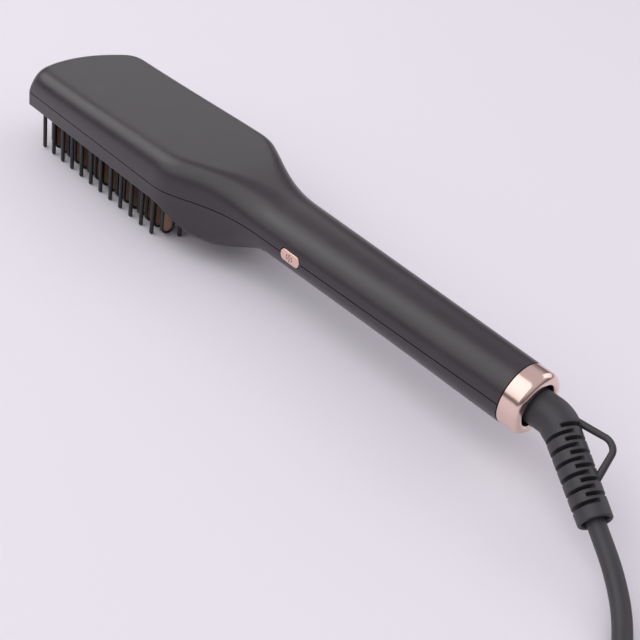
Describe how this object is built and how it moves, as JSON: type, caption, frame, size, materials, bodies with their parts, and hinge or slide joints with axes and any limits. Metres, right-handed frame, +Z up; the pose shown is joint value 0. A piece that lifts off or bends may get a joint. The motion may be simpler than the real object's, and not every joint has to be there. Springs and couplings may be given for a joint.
{
  "type": "heated styling brush",
  "caption": "Paddle-shaped heated hair straightening brush with guarded metal teeth, a side power button, a rose gold end ring and a swivelling mains lead with plug.",
  "frame": {"origin": "middle of the brush without its boot and lead, on the plane that the pins stand on", "axes": "+X from the paddle to the handle end, +Z up through the paddle back, -Y the side with the power button"},
  "size_m": [0.4915, 0.1072, 0.0434],
  "materials": {
    "soft_black": "soft-touch black paint on plastic",
    "black_nylon": "moulded black nylon",
    "bronze_fin": "bronze-brown coated aluminium",
    "bare_aluminium": "bare aluminium",
    "white_ceramic": "white ceramic",
    "mica": "mica sheet",
    "spring_steel": "spring steel",
    "sensor_glass": "amber sensor bead",
    "screw_steel": "zinc plated steel",
    "board_green": "green board",
    "component_black": "moulded component bodies",
    "rose_gold": "polished rose gold plating",
    "rose_gold_satin": "satin rose gold paint",
    "contact_brass": "sprung brass",
    "cord_black": "flexible black PVC",
    "tie_black": "black strap",
    "plated_brass": "nickel plated brass",
    "lead_sleeve": "white silicone sleeve"
  },
  "bodies": {
    "handle": {"board_components": "component_black", "board_screws": "screw_steel", "bottom_cover": "soft_black", "bristle_frame": "black_nylon", "bristle_pins": "black_nylon", "case_screws": "screw_steel", "ceramic_heaters": "white_ceramic", "circuit_board": "board_green", "contact_block": "black_nylon", "contact_springs": "contact_brass", "cord_coil": "cord_black", "cord_run": "cord_black", "cord_tail": "cord_black", "cord_tie": "tie_black", "end_ring": "rose_gold", "guard_combs": "black_nylon", "heater_clamp": "spring_steel", "heater_leads": "lead_sleeve", "heating_fins": "bronze_fin", "heating_plate": "bare_aluminium", "insulation_sheet": "mica", "mains_leads": "lead_sleeve", "plate_screws": "screw_steel", "plug_body": "cord_black", "plug_pins": "plated_brass", "sensor_leads": "lead_sleeve", "swivel_bush": "black_nylon", "tact_switch": "component_black", "thermal_fuse": "spring_steel", "thermistor": "sensor_glass", "top_cover": "soft_black"},
    "button": {"power_button": "rose_gold_satin", "switch_plunger": "component_black"},
    "swivel": {"swivel_spool": "black_nylon", "slip_rings": "contact_brass", "cord_boot": "cord_black", "hanging_loop": "cord_black", "cord_stub": "cord_black"}
  },
  "joints": [
    {"name": "button_press", "type": "slide", "parent": "handle", "child": "button", "axis": [0, 1, 0], "range_m": [0, 0.0005], "stiffness_N_per_m": 600},
    {"name": "cord_swivel", "type": "hinge", "parent": "handle", "child": "swivel", "pos_m": [0.1495, 0, 0.0286], "axis": [1, 0, 0], "continuous": true}
  ]
}
